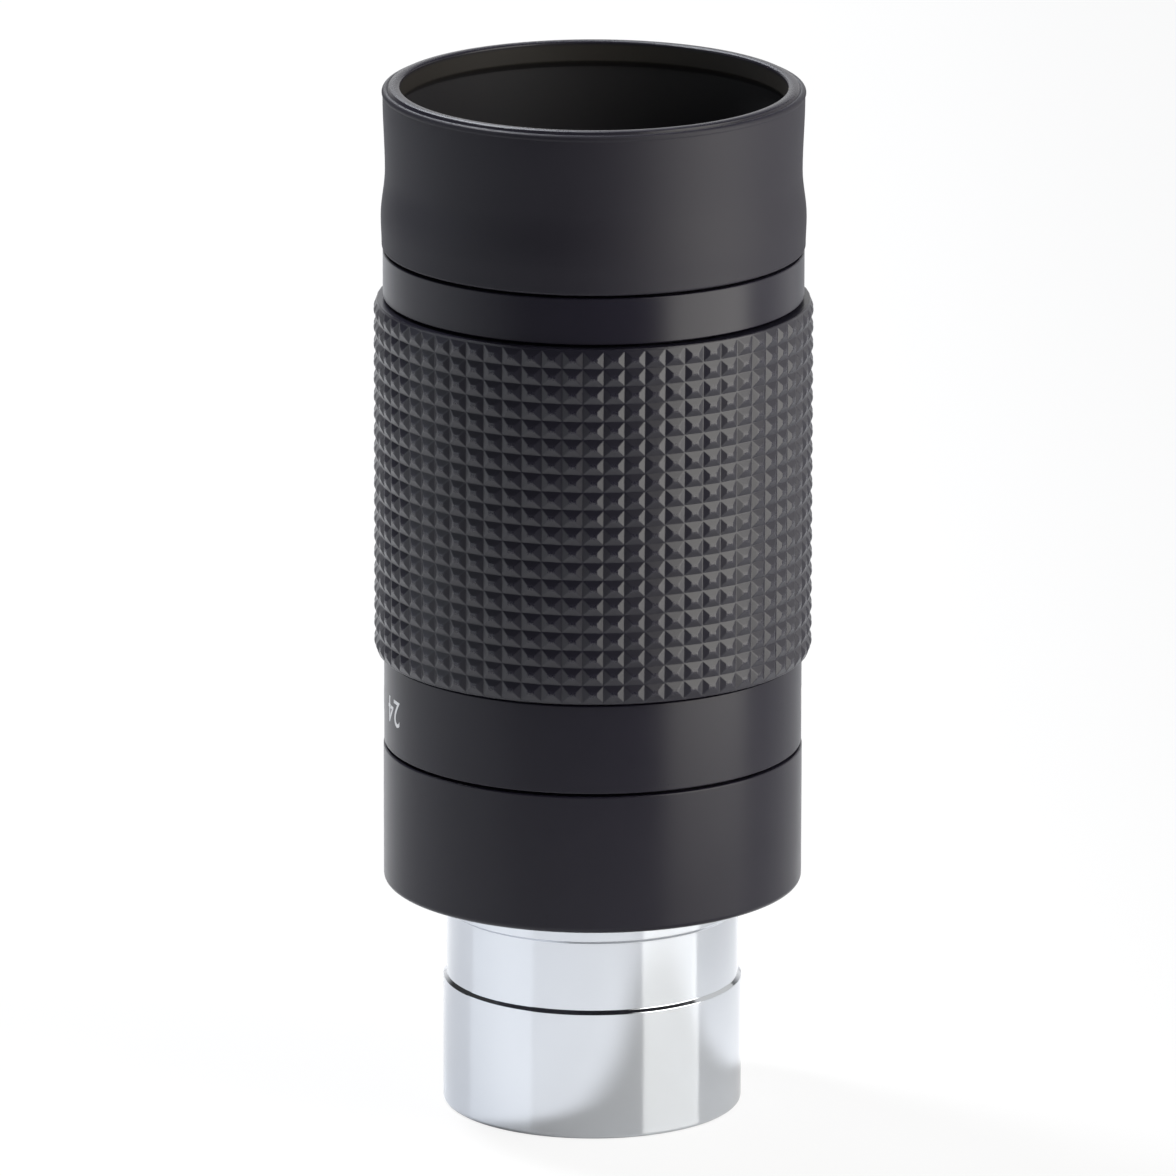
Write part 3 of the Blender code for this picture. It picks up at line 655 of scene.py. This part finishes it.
def barrel():
    """Chrome barrel with rounded rims, the shallow undercut and the recess of the filter thread."""
    waist = BARREL_RADIUS - UNDERCUT_DEPTH
    outline = [
        (THREAD_RADIUS + BARREL_EDGE, BARREL_FOOT),
        *arc((BARREL_RADIUS - BARREL_EDGE, BARREL_FOOT + BARREL_EDGE), BARREL_EDGE, -90, 0, 4),
        (BARREL_RADIUS, UNDERCUT_FOOT),
        (waist, UNDERCUT_FOOT + UNDERCUT_DEPTH),
        (waist, UNDERCUT_TOP - UNDERCUT_DEPTH),
        (BARREL_RADIUS, UNDERCUT_TOP),
        (BARREL_RADIUS, BARREL_SHOULDER),
        (SHANK_RADIUS, BARREL_SHOULDER),
        (SHANK_RADIUS, SHANK_TOP),
        (BARREL_BORE, SHANK_TOP),
        (BARREL_BORE, THREAD_DEPTH),
        (THREAD_RADIUS, THREAD_DEPTH),
        (THREAD_RADIUS, BARREL_FOOT + BARREL_EDGE),
    ]
    piece = turn("chrome_barrel", outline, CHROME_BROKEN_EDGE)
    dress(piece, CHROME, "base", "chrome", "nosepiece_barrel")


def filter_thread():
    """The ridge of the filter thread, wound inside the barrel's lower rim."""
    crest = THREAD_RADIUS - THREAD_HEIGHT
    outline = [
        (THREAD_RADIUS, THREAD_START),
        (crest, THREAD_START + THREAD_PITCH * THREAD_CREST_START),
        (crest, THREAD_START + THREAD_PITCH * THREAD_CREST_END),
        (THREAD_RADIUS, THREAD_START + THREAD_PITCH * THREAD_FLANK_END),
    ]
    piece = draw_outline("filter_thread", outline)
    mode("OBJECT")
    apply_modifier(
        piece,
        "SCREW",
        axis="Z",
        angle=math.tau,
        screw_offset=THREAD_PITCH,
        iterations=THREAD_TURNS,
        steps=LENS_TURN,
        render_steps=LENS_TURN,
    )
    mode("EDIT")
    choose(piece, "EDGE", lambda edge: edge.is_boundary)
    bpy.ops.mesh.fill_holes(sides=len(outline))
    bpy.ops.mesh.select_all(action="SELECT")
    bpy.ops.mesh.normals_make_consistent(inside=False)
    mode("OBJECT")
    smooth(piece)
    dress(piece, CHROME, "base", "chrome")


def housing():
    """Lower housing with a rounded foot, a fine seam edge and the barrel's seat."""
    outline = [
        (HOUSING_SEAT_RADIUS, HOUSING_FOOT),
        *arc((BODY_RADIUS - HOUSING_EDGE, HOUSING_FOOT + HOUSING_EDGE), HOUSING_EDGE, -90, 0, 6),
        (BODY_RADIUS, HOUSING_TOP - SEAM_EDGE),
        (BODY_RADIUS - SEAM_EDGE, HOUSING_TOP),
        (CAVITY_RADIUS, HOUSING_TOP),
        (CAVITY_RADIUS, HOUSING_FLOOR),
        (HOUSING_HOLE, HOUSING_FLOOR),
        (HOUSING_HOLE, HOUSING_SEAT_TOP),
        (HOUSING_SEAT_RADIUS, HOUSING_SEAT_TOP),
    ]
    piece = turn("housing", outline, BROKEN_EDGE)
    return dress(piece, ANODISED, "base", "black_satin", "lower_housing")


def band():
    """Turning shell with the smooth band that carries the scale."""
    outline = [
        (SHELL_BORE, SPIGOT_FOOT),
        (SPIGOT_RADIUS, SPIGOT_FOOT),
        (SPIGOT_RADIUS, BAND_FOOT),
        (BAND_RADIUS - SEAM_EDGE, BAND_FOOT),
        (BAND_RADIUS, BAND_FOOT + SEAM_EDGE),
        (BAND_RADIUS, BAND_TOP - SEAM_EDGE),
        (BAND_RADIUS - SEAM_EDGE, BAND_TOP),
        (SEAT_RADIUS, BAND_TOP),
        (SEAT_RADIUS, SHELL_TOP),
        (SHELL_BORE, SHELL_TOP),
    ]
    piece = turn("scale_band", outline, BROKEN_EDGE)
    return dress(piece, ANODISED, "zoom_head", "black_satin", "zoom_barrel")


def round_rim(piece, height, outwards):
    """Carries an open end of the grip round its edge and in to the bore."""
    radius = GRIP_BASE
    level = height - outwards * GRIP_EDGE

    def at_end(edge):
        lowest = min(outwards * (point.co.z - level) for point in edge.verts)
        return edge.is_boundary and lowest > -GRIP_EDGE / 2

    choose(piece, "EDGE", at_end)
    corners = arc((GRIP_BASE - GRIP_EDGE, 0), GRIP_EDGE, 0, 90, 3)[1:]
    for next_radius, rise in [*corners, (GRIP_BORE, GRIP_EDGE)]:
        next_level = height - outwards * (GRIP_EDGE - rise)
        bpy.ops.mesh.extrude_region_move(TRANSFORM_OT_translate={"value": (0, 0, next_level - level)})
        scale = next_radius / radius
        bpy.ops.transform.resize(value=(scale, scale, 1), center_override=(0, 0, 0))
        radius, level = next_radius, next_level


def grip():
    """Rubber sleeve: a tube of square cells, each raised to a blunt four-sided stud."""
    height = GRIP_TOP - GRIP_FOOT - 2 * GRIP_EDGE
    piece = new_piece(
        "stud_grip",
        bpy.ops.mesh.primitive_cylinder_add,
        vertices=STUD_COLUMNS,
        radius=GRIP_BASE,
        depth=height,
        end_fill_type="NOTHING",
        location=(0, 0, (GRIP_FOOT + GRIP_TOP) / 2),
        rotation=(0, 0, math.pi / STUD_COLUMNS),
    )
    bpy.ops.object.transform_apply(location=True, rotation=True, scale=True)
    mode("EDIT")
    choose(piece, "EDGE", lambda edge: abs(edge.verts[0].co.z - edge.verts[1].co.z) > height / 2)
    bpy.ops.mesh.subdivide(number_cuts=STUD_ROWS - 1)
    bpy.ops.mesh.select_mode(type="FACE")
    bpy.ops.mesh.select_all(action="SELECT")
    for thickness, depth in STUD_STEPS:
        bpy.ops.mesh.inset(thickness=thickness, depth=depth, use_individual=True)
    bpy.ops.mesh.poke(offset=STUD_TIP)
    choose(piece, "EDGE", lambda edge: edge.is_manifold and edge.calc_face_angle_signed() > STUD_RIDGE_ABOVE)
    bpy.ops.mesh.bevel(offset=STUD_RIDGE, segments=1, affect="EDGES")
    round_rim(piece, GRIP_TOP, 1)
    round_rim(piece, GRIP_FOOT, -1)
    choose(piece, "EDGE", lambda edge: edge.is_boundary)
    bpy.ops.mesh.bridge_edge_loops()
    bpy.ops.mesh.select_all(action="SELECT")
    bpy.ops.mesh.normals_make_consistent(inside=False)
    mode("OBJECT")
    smooth(piece, STUD_SMOOTH_BELOW)
    dress(piece, GRIP_RUBBER, "zoom_head", "black_rubber", "grip_sleeve")


def ring():
    """Smooth ring above the grip, with the neck that screws into the shell and the eyecup's collar."""
    low, high = COLLAR_GROOVE
    outline = [
        (RING_BORE, NECK_FOOT),
        (NECK_RADIUS, NECK_FOOT),
        (NECK_RADIUS, RING_FOOT),
        (RING_RADIUS - SEAM_EDGE, RING_FOOT),
        (RING_RADIUS, RING_FOOT + SEAM_EDGE),
        (RING_RADIUS, RING_TOP - SEAM_EDGE),
        (RING_RADIUS - SEAM_EDGE, RING_TOP),
        (COLLAR_RADIUS, RING_TOP),
        (COLLAR_RADIUS, low),
        (COLLAR_GROOVE_RADIUS, low),
        (COLLAR_GROOVE_RADIUS, high),
        (COLLAR_RADIUS, high),
        (COLLAR_RADIUS, COLLAR_TOP),
        (RING_BORE, COLLAR_TOP),
    ]
    piece = turn("smooth_ring", outline, BROKEN_EDGE)
    dress(piece, ANODISED, "zoom_head", "black_satin", "top_ring")


def cup():
    """Rubber eyecup: bulged foot, slight waist, and a flat, beaded lip that overhangs the inside."""
    low, high = CUP_KEY_SPAN
    outline = [
        (CUP_FOOT_INNER, CUP_FOOT),
        *arc((CUP_FOOT_RADIUS - CUP_FOOT_EDGE, CUP_FOOT + CUP_FOOT_EDGE), CUP_FOOT_EDGE, -90, 0, 4),
        *ease((CUP_FOOT_RADIUS, CUP_FOOT + CUP_FOOT_EDGE), CUP_BULGE, 5),
        *ease(CUP_BULGE, CUP_WAIST, 8),
        *ease(CUP_WAIST, CUP_UNDER_LIP, 8),
        *arc(CUP_BEAD_CENTRE, CUP_BEAD_ROUND, -25, 110, 9),
        CUP_GROOVE,
        *arc(CUP_BROW_CENTRE, CUP_BROW, 10, CUP_DOME_START, 5),
        *arc(CUP_DOME_CENTRE, CUP_DOME, CUP_DOME_START, CUP_DOME_END, 8)[1:],
        *arc(CUP_CROWN_CENTRE, CUP_CROWN, CUP_DOME_END, 180, 6)[1:],
        CUP_LIP_INNER,
        *ease(CUP_LIP_INNER, CUP_INNER, 4),
        (CUP_INNER[0], CUP_FLOOR),
        (CUP_FOOT_INNER, CUP_FLOOR),
        (CUP_FOOT_INNER, high),
        (CUP_KEY, high),
        (CUP_KEY, low),
        (CUP_FOOT_INNER, low),
    ]
    piece = turn("rubber_eyecup", outline)
    dress(piece, CUP_RUBBER, "zoom_head", "black_rubber", "eyecup")


def retaining_ring(name, hole, face_up, body, node):
    """Threaded lens ring with two spanner notches in its outer face."""
    low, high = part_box(node)
    outline = [(hole, low.z), (high.x, low.z), (high.x, high.z), (hole, high.z)]
    piece = turn(name, outline, INSIDE_BROKEN_EDGE)
    face = high.z if face_up else low.z
    cut_block(piece, (NOTCH_REACH * high.x, NOTCH_WIDTH, 2 * NOTCH_DEPTH), (0, 0, face))
    smooth(piece)
    dress(piece, MATTE_BLACK, body, "black_inside", node)


def eye_group():
    """Eye lens cell with its flange on the collar, the lens ring and the domed eye lens."""
    low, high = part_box("eye_lens_cell")
    ledge_top = low.z + LEDGE
    outline = [
        (EYE_HOLE, low.z),
        (CELL_RADIUS, low.z),
        (CELL_RADIUS, CUP_FLOOR),
        (CELL_FLANGE_RADIUS, CUP_FLOOR),
        (CELL_FLANGE_RADIUS, high.z - CELL_EDGE),
        (CELL_FLANGE_RADIUS - CELL_EDGE, high.z),
        (CELL_INNER + 2 * CELL_EDGE, high.z),
        (CELL_INNER, high.z - 2 * CELL_EDGE),
        (CELL_INNER, ledge_top),
        (EYE_HOLE, ledge_top),
    ]
    piece = turn("eye_cell", outline, CELL_BROKEN_EDGE)
    dress(piece, MATTE_BLACK, "zoom_head", "black_inside", "eye_lens_cell")
    retaining_ring("eye_ring", EYE_HOLE, True, "zoom_head", "eye_retaining_ring")

    low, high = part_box("eye_lens")
    top = lens_face(EYE_CURVE, high.x, high.z)
    outline = top + [(high.x, low.z), (0, low.z)]
    piece = turn("eye_glass_dome", outline, closed=False, steps=LENS_TURN)
    dress(piece, EYE_GLASS, "zoom_head", "coated_glass", "eye_lens")


def field_group():
    """Lower carriage with the long nose that reaches down the barrel, its lens ring and its field lens."""
    low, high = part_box("lower_carriage_tube")
    lens_low, lens_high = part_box("field_flint_lens")
    crown_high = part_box("field_crown_lens")[1]
    pin_low, pin_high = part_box("lower_pin_right")
    pin_height = (pin_low.z + pin_high.z) / 2
    step = pin_height - NOSE_STEP_DROP
    ledge = crown_high.z + GAP
    outline = [
        (NOSE_INNER, low.z),
        (NOSE_RADIUS, low.z),
        (NOSE_RADIUS, step),
        (high.x, step),
        (high.x, high.z),
        (high.x - CARRIAGE_WALL, high.z),
        (high.x - CARRIAGE_WALL, step + NOSE_SHOULDER),
        (FIELD_HOLE, step + NOSE_SHOULDER),
        (FIELD_HOLE, ledge),
        (NOSE_INNER, ledge),
    ]
    piece = turn("lower_carriage_nose", outline, INSIDE_BROKEN_EDGE)
    hole_foot = high.x - CARRIAGE_WALL + PIN_SKIN
    for side in (1, -1):
        drill(piece, side * (hole_foot + high.x), 2 * high.x, pin_height)
    smooth(piece)
    dress(piece, MATTE_BLACK, "lower_carriage", "black_inside", "lower_carriage_tube")
    retaining_ring("field_ring", FIELD_HOLE, False, "lower_carriage", "field_retaining_ring")

    rim = lens_high.x
    top = lens_face(-FIELD_CEMENT, rim, lens_high.z - sag(FIELD_CEMENT, rim))
    bottom = lens_face(FIELD_HOLLOW, rim, lens_low.z + sag(FIELD_HOLLOW, rim))
    piece = turn("field_glass_hollow", top + bottom[::-1], closed=False, steps=LENS_TURN)
    dress(piece, FIELD_GLASS, "lower_carriage", "coated_glass", "field_flint_lens")


def lay_on(piece, target):
    """Lays a flat print on a round surface and gives it the thickness of paint."""
    lifted = {"wrap_method": "NEAREST_SURFACEPOINT", "wrap_mode": "ABOVE_SURFACE", "offset": PRINT_LIFT}
    apply_modifier(piece, "SHRINKWRAP", target=target, **lifted)
    apply_modifier(piece, "SOLIDIFY", thickness=PRINT_THICKNESS, offset=-1.0)
    smooth(piece)


def round_place(degrees, radius, height):
    """The turn and shift that take a flat upright print from the axis to its place on the round."""
    return Matrix.Rotation(math.radians(degrees), 4, "Z") @ Matrix.Translation((0, -radius, height))


def settle(piece, place):
    """Takes a print to its place, and puts that place in its mesh."""
    piece.matrix_world = place
    select_only(piece)
    bpy.ops.object.transform_apply(location=True, rotation=True, scale=True)


def scale_numbers(target):
    """Focal lengths round the band. Their tops point down, so they read from the eye's side."""
    upright = Matrix.Rotation(math.pi / 2, 4, "X") @ Matrix.Rotation(math.pi, 4, "Z")
    for number, share in SCALE:
        piece = new_piece("scale_" + str(number), bpy.ops.object.text_add)
        piece.data.body = str(number)
        piece.data.size = NUMBER_SIZE
        piece.data.align_x = "CENTER"
        piece.data.align_y = "CENTER"
        bpy.ops.object.convert(target="MESH")
        piece = bpy.context.object
        degrees = SCALE_START + SCALE_TURN * share
        settle(piece, round_place(degrees, BAND_RADIUS, SCALE_HEIGHT) @ upright)
        lay_on(piece, target)
        dress(piece, PRINT, "zoom_head", "black_satin")


def index_mark(target):
    """Short upright mark on the housing that the scale is read against."""
    piece = new_piece(
        "index_mark",
        bpy.ops.mesh.primitive_circle_add,
        vertices=INDEX_TURN,
        radius=INDEX_RADIUS,
        fill_type="NGON",
        rotation=(math.pi / 2, 0, 0),
    )
    bpy.ops.object.transform_apply(location=True, rotation=True, scale=True)
    mode("EDIT")
    choose(piece, "VERT", lambda point: point.co.z > MERGE)
    bpy.ops.transform.translate(value=(0, 0, INDEX_LENGTH))
    mode("OBJECT")
    settle(piece, round_place(INDEX_DEGREES, BODY_RADIUS, INDEX_HEIGHT))
    lay_on(piece, target)
    dress(piece, PRINT, "base", "black_satin")


barrel()
filter_thread()
lower_half = housing()
scale_band = band()
grip()
ring()
cup()
eye_group()
field_group()
scale_numbers(scale_band)
index_mark(lower_half)

for entry in frame["record"]["subparts"]:
    set_finish(frame["nodes"][entry["node"]], NODE_FINISHES[entry["material_slot"]])


# Studio


def soft_lamp(name, degrees, distance, rise, width, height, radiance, colour, tilt=0, mirrored=True):
    """A soft box that faces the axis from a place round it, its middle at a rise, tilted down in degrees."""
    lamp = bpy.data.lights.new(name, "AREA")
    lamp.shape = "RECTANGLE"
    lamp.size = width
    lamp.size_y = height
    lamp.energy = radiance * math.pi * width * height
    lamp.color = colour
    holder = bpy.data.objects.new(name, lamp)
    angle = math.radians(degrees)
    holder.location = (distance * math.sin(angle), -distance * math.cos(angle), rise)
    holder.rotation_euler = (math.pi / 2 - math.radians(tilt), 0, angle)
    holder.visible_camera = False
    holder.visible_glossy = mirrored
    bpy.context.scene.collection.objects.link(holder)


def studio_floor():
    """Pale polished floor. The camera sees it nearly white, with the eyepiece's shadow on it."""
    place = (0, 0, -FLOOR_DROP)
    floor = new_piece("studio_floor", bpy.ops.mesh.primitive_plane_add, size=FLOOR_SIZE, location=place)
    finish = Finish("studio_floor")
    x, y = finish.axes()[:2]
    # Painted shade in the floor's colour: darker far in front, standing in for light falling off there, and
    # a painted shadow to the right of the eyepiece
    painted_floor_shade = y.between(-0.35, -0.06) * (1 - 0.42 * x.between(0.01, 0.09))
    shade = finish.blend(painted_floor_shade, (0.08, 0.08, 0.08), (0.66, 0.66, 0.67))
    finish.surface(Base_Color=shade, Roughness=0.19)
    polished = Value(finish, finish.tree.nodes["Principled BSDF"].outputs[0])
    matte = finish.node("ShaderNodeBsdfDiffuse", None, {"Color": shade})
    white = finish.node("ShaderNodeEmission", None, {"Color": (1, 1, 1, 1), "Strength": 1.0})
    pale = finish.node("ShaderNodeMixShader", None, {0: FLOOR_WHITE, 1: matte, 2: white})
    lit = finish.node("ShaderNodeMixShader", None, {0: FLOOR_POLISH, 1: matte, 2: polished})
    shown = finish.node("ShaderNodeMixShader", None, {0: finish.ray("Camera"), 1: lit, 2: pale})
    finish.feed(finish.tree.nodes["Material Output"].inputs["Surface"], shown)
    set_finish(floor, finish)


def studio_room():
    """White to the camera. Reflections see a white sweep behind and a darker room in front and above."""
    world = bpy.data.worlds.new("studio_room")
    bpy.context.scene.world = world
    room = Finish("studio_room", world)
    depth, up = room.axes("Generated")[1:]
    sweep = depth.between(0.75, 0.97) * (1 - up.between(0.22, 0.45))
    camera = room.ray("Camera")
    seen = camera.maths("MAXIMUM", camera, room.ray("Transmission"))
    level = seen + (1 - seen) * (0.31 + room.ray("Glossy") * (0.95 * sweep - 0.26))
    background = room.tree.nodes["Background"]
    room.feed(background.inputs["Color"], (1.0, 1.0, 1.0, 1))
    room.feed(background.inputs["Strength"], level)


def photo_camera():
    camera = bpy.data.cameras.new("photo_camera")
    camera.sensor_width = SENSOR
    camera.lens = CAMERA_FOCUS_PIXELS * SENSOR / PHOTO_SIDE
    camera.clip_start, camera.clip_end = CAMERA_CLIP
    holder = bpy.data.objects.new("photo_camera", camera)
    back = Vector((0, -math.cos(CAMERA_ELEVATION), math.sin(CAMERA_ELEVATION)))
    holder.location = CAMERA_AIM + back * CAMERA_DISTANCE
    facing = Matrix.Rotation(math.pi / 2 - CAMERA_ELEVATION, 3, "X") @ Matrix.Rotation(CAMERA_ROLL, 3, "Z")
    holder.rotation_euler = facing.to_euler()
    bpy.context.scene.collection.objects.link(holder)
    bpy.context.scene.camera = holder


studio_floor()
studio_room()
soft_lamp(
    "right_soft_box",
    degrees=63,
    distance=0.175,
    rise=0.21,
    width=0.16,
    height=0.42,
    radiance=4.6,
    colour=(1.0, 0.98, 0.915),
)
soft_lamp(
    "right_card",
    degrees=113,
    distance=0.33,
    rise=0.16,
    width=0.36,
    height=0.32,
    radiance=0.75,
    colour=(1.0, 0.985, 0.96),
)
soft_lamp(
    "left_card",
    degrees=-78,
    distance=0.8,
    rise=0.175,
    width=0.95,
    height=0.35,
    radiance=1.25,
    colour=(0.87, 0.925, 0.985),
)
soft_lamp(
    "back_panel",
    degrees=-168,
    distance=0.75,
    rise=0.62,
    width=0.27,
    height=0.27,
    radiance=7.0,
    colour=(0.9, 0.94, 1.0),
    tilt=34,
)
soft_lamp(
    "back_left_lamp",
    degrees=-128.5,
    distance=0.66,
    rise=1.27,
    width=0.22,
    height=0.22,
    radiance=85.0,
    colour=(0.95, 0.975, 1.0),
    tilt=62,
)
soft_lamp(
    "shadow_lamp",
    degrees=-135,
    distance=0.66,
    rise=1.27,
    width=0.22,
    height=0.22,
    radiance=67.0,
    colour=(0.97, 0.985, 1.0),
    tilt=62,
    mirrored=False,
)
photo_camera()
bpy.context.scene.view_settings.view_transform = "Standard"
